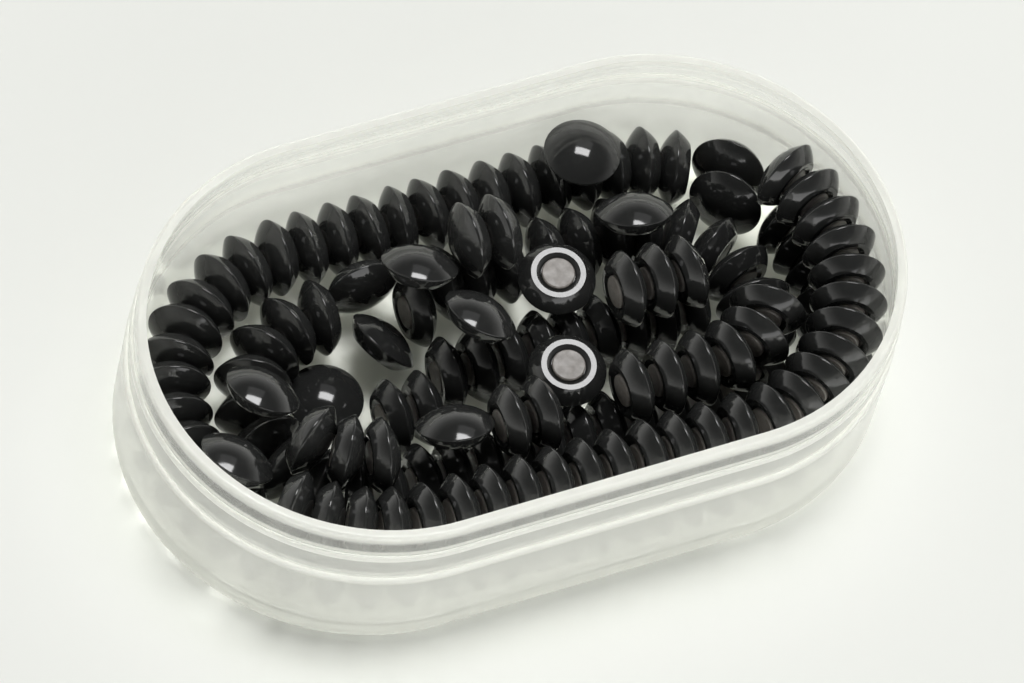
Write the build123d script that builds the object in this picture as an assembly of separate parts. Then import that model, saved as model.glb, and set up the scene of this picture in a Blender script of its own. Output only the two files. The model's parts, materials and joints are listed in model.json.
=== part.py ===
from build123d import *
import math
import os
import random

# Clear stadium-shaped case filled with magnetic go stones.
# Millimetres. Origin at the centre of the underside, +X along the case, +Z up.

# ---- case -------------------------------------------------------------------
CASE_LENGTH = 110.6
CASE_WIDTH = 65.6
CASE_HEIGHT = 26.0
SHOULDER_HEIGHT = 16.0      # the shoulder a lid would come down to
NECK_INSET = 0.6            # the neck above the shoulder is this much smaller all round
BEAD_HEIGHT = 21.0          # centre of the snap bead around the neck
BEAD_BAND = 1.3
BEAD_PROUD = 0.35
CAVITY_LENGTH = 106.8
CAVITY_WIDTH = 61.8
RIM_BAND = 1.3              # the top of the wall is thicker, towards the inside
RIM_LIP = 0.15
FLOOR_TOP = 2.6
FOOT_HEIGHT = 1.0           # the underside is hollowed by this inside the foot
FOOT_WIDTH = 4.2
BASE_RADIUS = 2.4
CAVITY_RADIUS = 1.6
SHOULDER_RADIUS = 0.5
RIM_RADIUS = 0.55

# ---- stones and magnets -----------------------------------------------------
STONE_RADIUS = 5.4
DOME_RISE = 2.35            # above the stone's widest circle
BASE_DROP = 2.0             # below it, down to the flat base
RIM_LAND = 0.18             # half the height of the sharp edge
BASE_FLAT_RADIUS = 3.8
UNDERSIDE_POINT = (4.65, -1.16)  # the nearly straight flank under the edge passes here
GROOVE_RADIUS = 3.05        # a dished ring around the magnet
GROOVE_DEPTH = 0.5
POCKET_RADIUS = 2.38
POCKET_DEPTH = 1.2
MAGNET_RADIUS = 2.3
MAGNET_THICKNESS = 1.1
MAGNET_RECESS = 0.05
MAGNET_EDGE = 0.15

# ---- how the stones lie -----------------------------------------------------
CLEARANCE = 0.15
PITCH = 4.6                 # from stone to stone along a straight or wide row
TIGHT_PITCH = 4.95          # along a row that bends sharply
LAYER_RISE = 9.75           # from a row on the floor to one lying in its notches
ROW_SPACING = 2 * STONE_RADIUS + CLEARANCE
ROLL_HEIGHT = FLOOR_TOP + STONE_RADIUS + 0.05
HALF_STRAIGHT = (CAVITY_LENGTH - CAVITY_WIDTH) / 2
OUTER_RING = CAVITY_WIDTH / 2 - STONE_RADIUS - CLEARANCE
INNER_RING = OUTER_RING - ROW_SPACING
SWAY = 2.5                  # degrees that a rolled stone leans off true
FREE_SWAY = 5.0             # the same in the rows with room around them


def slot(length, width, height, bottom):
    """Upright stadium-shaped block."""
    return Pos(0, 0, bottom) * extrude(SlotOverall(length, width), height)


def edges_at(shape, height):
    """The edges of a shape that lie level at one height."""
    return shape.edges().filter_by(lambda e: abs(e.bounding_box().min.Z - height) < 1e-4
                                   and abs(e.bounding_box().max.Z - height) < 1e-4)


def make_tray():
    """One moulding: foot, floor, wall, shoulder, neck with its snap bead, thick rim."""
    neck_length = CASE_LENGTH - 2 * NECK_INSET
    neck_width = CASE_WIDTH - 2 * NECK_INSET
    body = slot(CASE_LENGTH, CASE_WIDTH, SHOULDER_HEIGHT, 0)
    body = fillet(edges_at(body, 0), BASE_RADIUS)
    body = fillet(edges_at(body, SHOULDER_HEIGHT), SHOULDER_RADIUS)
    neck = slot(neck_length, neck_width, CASE_HEIGHT - SHOULDER_HEIGHT + 1, SHOULDER_HEIGHT - 1)
    neck = fillet(edges_at(neck, CASE_HEIGHT), RIM_RADIUS)
    bead = slot(neck_length + 2 * BEAD_PROUD, neck_width + 2 * BEAD_PROUD,
                BEAD_BAND, BEAD_HEIGHT - BEAD_BAND / 2)
    bead = fillet(edges_at(bead, BEAD_HEIGHT - BEAD_BAND / 2)
                  + edges_at(bead, BEAD_HEIGHT + BEAD_BAND / 2), BEAD_PROUD * 0.9)
    tray = body + neck + bead

    lip_bottom = CASE_HEIGHT - RIM_BAND
    cavity = slot(CAVITY_LENGTH, CAVITY_WIDTH, lip_bottom - FLOOR_TOP, FLOOR_TOP)
    cavity = fillet(edges_at(cavity, FLOOR_TOP), CAVITY_RADIUS)
    cavity = fillet(edges_at(cavity, lip_bottom), RIM_LIP * 0.9)
    mouth = slot(CAVITY_LENGTH - 2 * RIM_LIP, CAVITY_WIDTH - 2 * RIM_LIP,
                 CASE_HEIGHT - FLOOR_TOP, FLOOR_TOP + RIM_BAND)
    tray = tray - cavity - mouth
    hollow = slot(CASE_LENGTH - 2 * FOOT_WIDTH, CASE_WIDTH - 2 * FOOT_WIDTH,
                  FOOT_HEIGHT + 1, -1)
    return tray - fillet(edges_at(hollow, FOOT_HEIGHT), FOOT_HEIGHT * 0.6)


def make_stone():
    """Dome up: a domed top, a sharp edge, a flat base with a pocket for the magnet."""
    edge = STONE_RADIUS - 0.06
    sphere = (edge ** 2 + (DOME_RISE - RIM_LAND) ** 2) / (2 * (DOME_RISE - RIM_LAND))
    middle = edge / 2
    dome_middle = DOME_RISE - sphere + math.sqrt(sphere ** 2 - middle ** 2)
    groove_top = GROOVE_DEPTH - BASE_DROP
    pocket_top = POCKET_DEPTH - BASE_DROP
    outline = [
        ThreePointArc((0, DOME_RISE), (middle, dome_middle), (edge, RIM_LAND)),
        ThreePointArc((edge, RIM_LAND), (STONE_RADIUS, 0), (edge, -RIM_LAND)),
        ThreePointArc((edge, -RIM_LAND), UNDERSIDE_POINT, (BASE_FLAT_RADIUS, -BASE_DROP)),
        Line((BASE_FLAT_RADIUS, -BASE_DROP), (GROOVE_RADIUS, -BASE_DROP)),
        Line((GROOVE_RADIUS, -BASE_DROP), (POCKET_RADIUS, groove_top)),
        Line((POCKET_RADIUS, groove_top), (POCKET_RADIUS, pocket_top)),
        Line((POCKET_RADIUS, pocket_top), (0, pocket_top)),
        Line((0, pocket_top), (0, DOME_RISE)),
    ]
    half = make_face(Curve() + outline)
    return revolve(Rot(90, 0, 0) * half, Axis.Z)


def make_magnet():
    """Disc magnet in the pocket, a hair below the stone's base."""
    disc = extrude(Circle(MAGNET_RADIUS), MAGNET_THICKNESS)
    disc = chamfer(edges_at(disc, 0), MAGNET_EDGE)
    return Pos(0, 0, MAGNET_RECESS - BASE_DROP) * disc


def ring_point(radius, travel):
    """Point and heading on a stadium track around the case.

    Travel starts at the middle of the +Y side and runs anticlockwise seen from above.
    """
    arc = math.pi * radius
    lap = 4 * HALF_STRAIGHT + 2 * arc
    travel = travel % lap
    if travel < HALF_STRAIGHT:
        return -travel, radius, 180.0
    travel -= HALF_STRAIGHT
    if travel < arc:
        angle = math.pi / 2 + travel / radius
        x = -HALF_STRAIGHT + radius * math.cos(angle)
        return x, radius * math.sin(angle), math.degrees(angle) + 90
    travel -= arc
    if travel < 2 * HALF_STRAIGHT:
        return -HALF_STRAIGHT + travel, -radius, 0.0
    travel -= 2 * HALF_STRAIGHT
    if travel < arc:
        angle = -math.pi / 2 + travel / radius
        x = HALF_STRAIGHT + radius * math.cos(angle)
        return x, radius * math.sin(angle), math.degrees(angle) + 90
    travel -= arc
    return HALF_STRAIGHT - travel, radius, 180.0


def ring_row(radius, start, count, layer=0, pitch=PITCH):
    """Stones rolled on edge, side by side around the wall."""
    return [(*ring_point(radius, start + pitch * i), layer) for i in range(count)]


def straight_row(start, y, count, layer=0):
    """Stones rolled on edge along +X."""
    return [(start + PITCH * i, y, 0.0, layer) for i in range(count)]


# Rolls of stones held together by their magnets. Layer 0 stands on the floor;
# layer 1 lies half a pitch along, in the notches of the row below.
ROWS = {
    "far_row": ring_row(OUTER_RING, -12.4, 15),
    "far_right_row": ring_row(OUTER_RING, -35.4, 5),
    "left_row": ring_row(OUTER_RING, 57.0, 10),
    "near_row": ring_row(OUTER_RING, 103.4, 10),
    "right_row": ring_row(OUTER_RING, 150.0, 11),
    "inner_far_row": ring_row(INNER_RING, -5.5, 3),
    "inner_far_right_row": ring_row(INNER_RING, -46.6, 8, pitch=TIGHT_PITCH),
    "inner_right_row": ring_row(INNER_RING, -76.5, 6, pitch=TIGHT_PITCH),
    "inner_near_row": ring_row(INNER_RING, 71.8, 7),
    "inner_left_row": ring_row(INNER_RING, 22.4, 10, pitch=TIGHT_PITCH),
    "centre_row": straight_row(-8.6, 0.4, 9),
    "left_centre_row": straight_row(-18.4, -3.6, 2),
    "right_upper_row": ring_row(OUTER_RING, 152.3, 11, layer=1),
    "near_upper_row": ring_row(OUTER_RING, 105.7, 10, layer=1),
    "left_upper_row": ring_row(OUTER_RING, 82.3, 5, layer=1),
    "inner_right_upper_row": ring_row(INNER_RING, -78.95, 6, layer=1, pitch=TIGHT_PITCH),
    "inner_near_upper_row": ring_row(INNER_RING, 83.3, 2, layer=1),
    "inner_left_upper_row": ring_row(INNER_RING, 54.5, 3, layer=1, pitch=TIGHT_PITCH),
    "inner_far_upper_row": ring_row(INNER_RING, -3.2, 2, layer=1),
    "centre_upper_row": straight_row(16.7, 0.4, 3, layer=1),
}

# Rows with nothing on them or close beside them, so their stones lean further.
FREE_ROWS = ("far_row", "far_right_row", "centre_upper_row", "inner_far_upper_row")


def place(x, y, z, heading, tip):
    """Heading turns about Z; tip lays the dome over, 0 pointing up and 90 level."""
    return Pos(x, y, z) * Rot(0, 0, heading) * Rot(0, tip, 0)


# Stones lying loose on the others, and single ones caught between the rolls.
UPPER_REST = FLOOR_TOP + 2 * STONE_RADIUS + 0.1
LOOSE = {
    "dome_up_stone_a": place(20.6, 24.2, UPPER_REST + BASE_DROP, 0, 0),
    "dome_up_stone_b": place(-4.4, 2.6, UPPER_REST + 4.6, 30, 36),
    "dome_up_stone_c": place(22.6, 11.6, UPPER_REST + 4.6, 80, 36),
    "dome_up_stone_d": place(-9.3, 12.6, UPPER_REST + 4.6, 60, 34),
    "dome_up_stone_e": place(-14.6, -12.6, UPPER_REST + 4.6, 85, 36),
    "dome_up_stone_f": place(-37.4, 0.6, UPPER_REST + 4.4, 35, 34),
    "base_up_stone_a": place(4.2, -8.3, UPPER_REST + DOME_RISE + 0.3, 54, 173),
    "base_up_stone_b": place(8.7, 5.8, UPPER_REST + DOME_RISE + 0.3, 54, 173),
}
BETWEEN = [
    place(-25.1, 3.9, FLOOR_TOP + BASE_DROP + 0.05, 0, 0),
    place(-15.0, 8.2, FLOOR_TOP + 5.3, 20, 50),
    place(-14.6, 17.0, ROLL_HEIGHT, -90, 88),
    place(-8.7, 11.5, ROLL_HEIGHT, 0, 90),
    place(42.4, 19.5, ROLL_HEIGHT, -135.5, 80),
    place(39.7, 14.5, ROLL_HEIGHT, -139, 77),
    place(-44.8, -8.4, UPPER_REST + 4.6, 30, 36),
]


def row_locations(name):
    """Each stone's location in a row, leaning a few degrees off true."""
    chance = random.Random(name)
    sway = FREE_SWAY if name in FREE_ROWS else SWAY
    locations = []
    for x, y, heading, layer in ROWS[name]:
        z = ROLL_HEIGHT + layer * LAYER_RISE
        yaw = chance.uniform(-sway, sway)
        lean = chance.uniform(-sway, sway)
        locations.append(place(x, y, z, heading + yaw, 90 + lean))
    return locations


def build():
    """Every node's shape by name."""
    stone = make_stone()
    magnet = make_magnet()
    shapes = {"tray": make_tray()}
    groups = {name: row_locations(name) for name in ROWS}
    groups["between"] = BETWEEN
    for name, locations in groups.items():
        shapes[name + "_stones"] = Compound([loc * stone for loc in locations])
        shapes[name + "_magnets"] = Compound([loc * magnet for loc in locations])
    for name, location in LOOSE.items():
        shapes[name] = location * stone
        shapes[name + "_magnet"] = location * magnet
    return shapes


if __name__ == "__main__":
    os.makedirs("parts", exist_ok=True)
    for node, shape in build().items():
        shape.label = node
        export_step(shape, f"parts/{node}.step")
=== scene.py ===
import json
import math

import bpy
from mathutils import Matrix, Vector


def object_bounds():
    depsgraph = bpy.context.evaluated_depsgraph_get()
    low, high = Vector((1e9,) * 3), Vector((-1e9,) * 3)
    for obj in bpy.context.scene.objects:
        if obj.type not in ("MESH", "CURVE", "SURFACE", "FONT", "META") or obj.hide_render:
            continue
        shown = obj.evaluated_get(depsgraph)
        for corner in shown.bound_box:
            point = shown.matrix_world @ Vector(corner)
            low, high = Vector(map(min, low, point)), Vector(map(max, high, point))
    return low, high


# Clear case of magnetic go stones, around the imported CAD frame. Metres, +X along the case.

# ---- view -------------------------------------------------------------------
CAMERA_PLACE = Vector((-0.355, -0.485, 0.925))
CAMERA_ROLL = math.radians(15.6)
LENS_MM = 281.0
SENSOR_MM = 36.0

# ---- light ------------------------------------------------------------------
ZENITH_COLOUR = (0.03, 0.03, 0.03)
HORIZON_COLOUR = (1.72, 1.72, 1.66)
ZENITH_START = 0.7          # the sine of the height in the sky where the dark overhead begins
# Each softbox: its place, its size and its power in watts.
LIGHTS = {
    "key": (Vector((0.2, 0.28, 1.22)), (0.6, 0.34), 11.3),
    "card": (Vector((0.45, 0.62, 1.15)), (0.7, 0.5), 0.7),
    "front": (Vector((0.0, -1.2, 0.4)), (1.4, 0.5), 5.2),
}

# ---- floor ------------------------------------------------------------------
FLOOR_COLOUR = (0.8, 0.81, 0.775)
FLOOR_PATCHES = 1.03        # how much paler its palest patches are
FLOOR_SPAN = 6.0
FLOOR_DROP = 0.0002         # keeps the foot clear of the floor

# ---- clear plastic ----------------------------------------------------------
CLEAR_COLOUR = (0.985, 0.99, 0.965)
LAMP_COLOUR = (0.93, 0.935, 0.92)   # what one skin lets through of a lamp's light
HAZE_COLOUR = (0.97, 0.975, 0.93)
HAZE_PASSED = 0.35          # share of the hazed light that goes on through
RIM_HEIGHT = 0.026
# Haze of one skin over height: whitest at the foot, shoulder, bead and rim; the white bands at the
# shoulder, bead and rim are partly milky plastic and partly painted highlight lines.
HAZE_AND_HIGHLIGHT_BY_HEIGHT = (
    (0.0, 0.55), (0.0022, 0.5), (0.0034, 0.43), (0.0110, 0.43), (0.0150, 0.38), (0.0156, 0.75),
    (0.0162, 0.75), (0.0166, 0.35), (0.0202, 0.3), (0.0206, 0.7), (0.0215, 0.7), (0.0219, 0.12),
    (0.0243, 0.1), (0.0249, 0.5), (RIM_HEIGHT, 0.7))

# ---- stones and magnets -----------------------------------------------------
STONE_COLOUR = (0.02, 0.0205, 0.02)
DUSTY_COLOUR = (0.036, 0.036, 0.034)
STONE_SPECULAR = 0.42
MAGNET_DARK = (0.16, 0.145, 0.13)
MAGNET_PALE = (0.24, 0.22, 0.2)


class Nodes:
    """The node tree of a material or world, with short calls to add and join nodes."""

    def __init__(self, owner):
        self.owner = owner
        self.owner.use_nodes = True
        self.tree = self.owner.node_tree
        self.tree.nodes.clear()

    def add(self, kind, **values):
        """A node, with its settings and its inputs' values by name."""
        node = self.tree.nodes.new(kind)
        for key, value in values.items():
            if hasattr(node, key):
                setattr(node, key, value)
            else:
                node.inputs[key.replace("_", " ")].default_value = value
        return node

    def join(self, source, target):
        self.tree.links.new(source, target)

    def noise(self, scale, detail=4.0, roughness=0.5):
        """Smooth noise, fixed to the object, with scale given per metre."""
        where = self.add("ShaderNodeTexCoord")
        noise = self.add("ShaderNodeTexNoise", Scale=scale, Detail=detail, Roughness=roughness)
        self.join(where.outputs["Object"], noise.inputs["Vector"])
        return noise.outputs["Fac"]

    def remap(self, value, low, high, start=0.3, end=0.7):
        """A value between start and end, spread over low to high."""
        spread = self.add("ShaderNodeMapRange")
        spread.inputs["From Min"].default_value = start
        spread.inputs["From Max"].default_value = end
        spread.inputs["To Min"].default_value = low
        spread.inputs["To Max"].default_value = high
        self.join(value, spread.inputs["Value"])
        return spread.outputs["Result"]

    def blend(self, value, first, second):
        """A colour from first to second as value goes from 0 to 1."""
        mix = self.add("ShaderNodeMix", data_type="RGBA")
        mix.inputs["A"].default_value = (*first, 1.0)
        mix.inputs["B"].default_value = (*second, 1.0)
        self.join(value, mix.inputs["Factor"])
        return mix.outputs["Result"]

    def height_curve(self, points):
        """A value through (height, value) points, from height 0 to the last."""
        where = self.add("ShaderNodeTexCoord")
        split = self.add("ShaderNodeSeparateXYZ")
        self.join(where.outputs["Object"], split.inputs["Vector"])
        top = points[-1][0]
        curve = self.add("ShaderNodeValToRGB")
        stops = curve.color_ramp.elements
        stops[1].position = 1.0
        for _ in points[2:]:
            stops.new(0.5)
        for stop, (height, value) in zip(stops, points):
            stop.position = height / top
            stop.color = (value, value, value, 1.0)
        self.join(self.remap(split.outputs["Z"], 0.0, 1.0, 0.0, top), curve.inputs["Fac"])
        return curve.outputs["Color"]

    def bump(self, height, distance):
        """A normal that follows height, raised by distance where height is 1."""
        bump = self.add("ShaderNodeBump", Distance=distance, Strength=1.0)
        self.join(height, bump.inputs["Height"])
        return bump.outputs["Normal"]

    def mix(self, share, first, second):
        """A shader that is first, or second in the given share."""
        mix = self.add("ShaderNodeMixShader")
        if isinstance(share, float):
            mix.inputs["Fac"].default_value = share
        else:
            self.join(share, mix.inputs["Fac"])
        self.join(first.outputs[0], mix.inputs[1])
        self.join(second.outputs[0], mix.inputs[2])
        return mix

    def output(self, shader, kind="ShaderNodeOutputMaterial"):
        self.join(shader, self.add(kind).inputs["Surface"])
        return self.owner


def new_material(name):
    return Nodes(bpy.data.materials.new(name))


def clear_plastic():
    """Clear moulding with a milky veil and painted highlight lines at the shoulder, bead and rim: it
    bends light and lets lamps through.
    """
    n = new_material("clear_plastic")
    glass = n.add("ShaderNodeBsdfPrincipled", IOR=1.5)
    glass.inputs["Base Color"].default_value = (*CLEAR_COLOUR, 1.0)
    glass.inputs["Transmission Weight"].default_value = 1.0
    n.join(n.remap(n.noise(900.0), 0.03, 0.09), glass.inputs["Roughness"])
    n.join(n.bump(n.noise(260.0, detail=2.0), 0.00002), glass.inputs["Normal"])
    passed = n.add("ShaderNodeBsdfTranslucent")
    passed.inputs["Color"].default_value = (*HAZE_COLOUR, 1.0)
    returned = n.add("ShaderNodeBsdfDiffuse")
    returned.inputs["Color"].default_value = (*HAZE_COLOUR, 1.0)
    haze = n.mix(HAZE_PASSED, returned, passed)
    # The height curve mixes in the milky haze, with whiter bands at the shoulder, bead and rim that are
    # painted highlight lines.
    haze_and_highlights = n.mix(n.height_curve(HAZE_AND_HIGHLIGHT_BY_HEIGHT), glass, haze)
    through = n.add("ShaderNodeBsdfTransparent")
    through.inputs["Color"].default_value = (*LAMP_COLOUR, 1.0)
    lamp_ray = n.add("ShaderNodeLightPath")
    shader = n.mix(lamp_ray.outputs["Is Shadow Ray"], haze_and_highlights, through)
    return n.output(shader.outputs["Shader"])


def stone_plastic():
    """Polished black moulding with a fine skin, a little dust and slight differences between stones."""
    n = new_material("stone_plastic")
    shader = n.add("ShaderNodeBsdfPrincipled", IOR=1.5)
    shader.inputs["Specular IOR Level"].default_value = STONE_SPECULAR
    geometry = n.add("ShaderNodeNewGeometry")
    dust = n.remap(n.noise(700.0, detail=6.0, roughness=0.7), 0.0, 0.4, 0.5, 0.8)
    n.join(n.blend(dust, STONE_COLOUR, DUSTY_COLOUR), shader.inputs["Base Color"])
    each = n.remap(geometry.outputs["Random Per Island"], 0.05, 0.13, 0.0, 1.0)
    skin = n.add("ShaderNodeMath", operation="ADD")
    n.join(each, skin.inputs[0])
    n.join(n.remap(n.noise(500.0), 0.0, 0.03), skin.inputs[1])
    n.join(skin.outputs["Value"], shader.inputs["Roughness"])
    n.join(n.bump(n.noise(260.0, detail=1.0), 0.000004), shader.inputs["Normal"])
    return n.output(shader.outputs["BSDF"])


def magnet():
    """Sintered magnet, matt warm grey with fine grain."""
    n = new_material("magnet")
    shader = n.add("ShaderNodeBsdfPrincipled", IOR=1.6)
    grain = n.remap(n.noise(1400.0, detail=4.0), 0.0, 1.0)
    n.join(n.blend(grain, MAGNET_DARK, MAGNET_PALE), shader.inputs["Base Color"])
    n.join(n.remap(n.noise(900.0), 0.4, 0.55), shader.inputs["Roughness"])
    n.join(n.bump(n.noise(1800.0, detail=2.0), 0.000006), shader.inputs["Normal"])
    return n.output(shader.outputs["BSDF"])


def table_top():
    """Smooth off-white surface."""
    n = new_material("table_top")
    shader = n.add("ShaderNodeBsdfPrincipled", Roughness=0.55)
    shader.inputs["Specular IOR Level"].default_value = 0.25
    paler = tuple(channel * FLOOR_PATCHES for channel in FLOOR_COLOUR)
    n.join(n.blend(n.remap(n.noise(3.0), 0.0, 1.0), FLOOR_COLOUR, paler),
           shader.inputs["Base Color"])
    return n.output(shader.outputs["BSDF"])


def dress_frame(frame):
    """Gives every CAD node the material of its slot."""
    by_slot = {"clear_plastic": clear_plastic(), "stone_plastic": stone_plastic(),
               "magnet": magnet()}
    for part in frame["record"]["subparts"]:
        thing = frame["nodes"][part["node"]]
        thing.data.materials.clear()
        thing.data.materials.append(by_slot[part["material_slot"]])


def make_floor():
    mesh = bpy.data.meshes.new("floor")
    half = FLOOR_SPAN / 2
    mesh.from_pydata([(-half, -half, 0), (half, -half, 0), (half, half, 0), (-half, half, 0)],
                     [], [(0, 1, 2, 3)])
    mesh.materials.append(table_top())
    floor = bpy.data.objects.new("floor", mesh)
    floor.location.z = -FLOOR_DROP
    bpy.context.scene.collection.objects.link(floor)


def aimed(place, target, roll=0.0):
    """Rotation that looks from place to target, -Z forward, with +Z of the world up, then rolled."""
    look = (target - place).to_track_quat("-Z", "Y")
    return (look.to_matrix() @ Matrix.Rotation(roll, 3, "Z")).to_euler()


def add_light(name, place, size, power, target):
    light = bpy.data.lights.new(name, "AREA")
    light.shape = "RECTANGLE"
    light.size, light.size_y = size
    light.energy = power
    lamp = bpy.data.objects.new(name, light)
    lamp.location = place
    lamp.rotation_euler = aimed(place, target)
    bpy.context.scene.collection.objects.link(lamp)


def make_world():
    """Dark overhead and pale low down."""
    n = Nodes(bpy.data.worlds.new("room"))
    where = n.add("ShaderNodeTexCoord")
    height = n.add("ShaderNodeSeparateXYZ")
    n.join(where.outputs["Generated"], height.inputs["Vector"])
    rise = n.add("ShaderNodeMapRange", interpolation_type="SMOOTHSTEP")
    rise.inputs["From Max"].default_value = ZENITH_START
    n.join(height.outputs["Z"], rise.inputs["Value"])
    sky = n.add("ShaderNodeBackground")
    n.join(n.blend(rise.outputs["Result"], HORIZON_COLOUR, ZENITH_COLOUR), sky.inputs["Color"])
    return n.output(sky.outputs["Background"], "ShaderNodeOutputWorld")


def light_room(target):
    """The sky, a softbox and a dim card on the far side, and a low light in front."""
    bpy.context.scene.world = make_world()
    for name, (place, size, power) in LIGHTS.items():
        add_light(name, place, size, power, target)
    bpy.context.scene.view_settings.view_transform = "Standard"


def add_camera(target):
    camera = bpy.data.cameras.new("camera")
    camera.lens = LENS_MM
    camera.sensor_width = SENSOR_MM
    camera.clip_start = 0.01
    holder = bpy.data.objects.new("camera", camera)
    holder.location = CAMERA_PLACE
    holder.rotation_euler = aimed(CAMERA_PLACE, target, CAMERA_ROLL)
    bpy.context.scene.collection.objects.link(holder)
    bpy.context.scene.camera = holder


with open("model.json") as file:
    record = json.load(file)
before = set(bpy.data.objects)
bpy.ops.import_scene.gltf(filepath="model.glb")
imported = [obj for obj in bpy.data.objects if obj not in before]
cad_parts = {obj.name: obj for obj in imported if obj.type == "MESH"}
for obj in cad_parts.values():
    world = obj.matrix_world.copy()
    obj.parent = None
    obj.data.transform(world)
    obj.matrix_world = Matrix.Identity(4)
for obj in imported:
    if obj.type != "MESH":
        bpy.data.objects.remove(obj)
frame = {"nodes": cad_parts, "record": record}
cad_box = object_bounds()
middle = (cad_box[0] + cad_box[1]) / 2

dress_frame(frame)
make_floor()
light_room(middle)
add_camera(middle)
